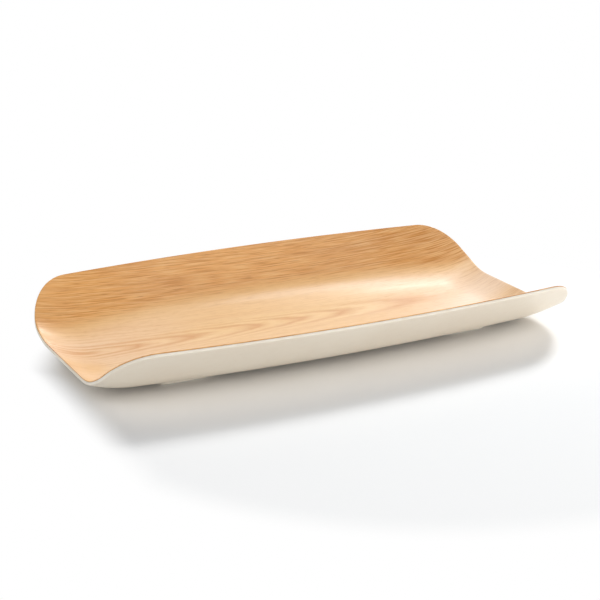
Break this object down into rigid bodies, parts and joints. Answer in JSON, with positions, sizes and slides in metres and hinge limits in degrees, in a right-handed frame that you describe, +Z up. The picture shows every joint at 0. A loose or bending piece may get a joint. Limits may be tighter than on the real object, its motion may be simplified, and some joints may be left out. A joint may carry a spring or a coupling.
{
  "type": "rectangular serving tray",
  "caption": "Rectangular serving tray: a shallow oak-faced trough with raised long sides and open, slightly lifted ends, bonded into a cream moulded shell on soft feet.",
  "frame": {"origin": "under the middle of the tray, on the surface that its feet stand on", "axes": "+X along the tray's length, +Y across it from the front side to the rear side, +Z up"},
  "size_m": [0.402, 0.2262, 0.0483],
  "materials": {
    "oak": "satin lacquered",
    "cream_shell": "smooth satin",
    "soft_foot": "matte"
  },
  "bodies": {
    "root": {"outer_shell": "cream_shell", "oak_face": "oak", "foot_front_left": "soft_foot", "foot_front_right": "soft_foot", "foot_rear_left": "soft_foot", "foot_rear_right": "soft_foot"}
  },
  "joints": []
}
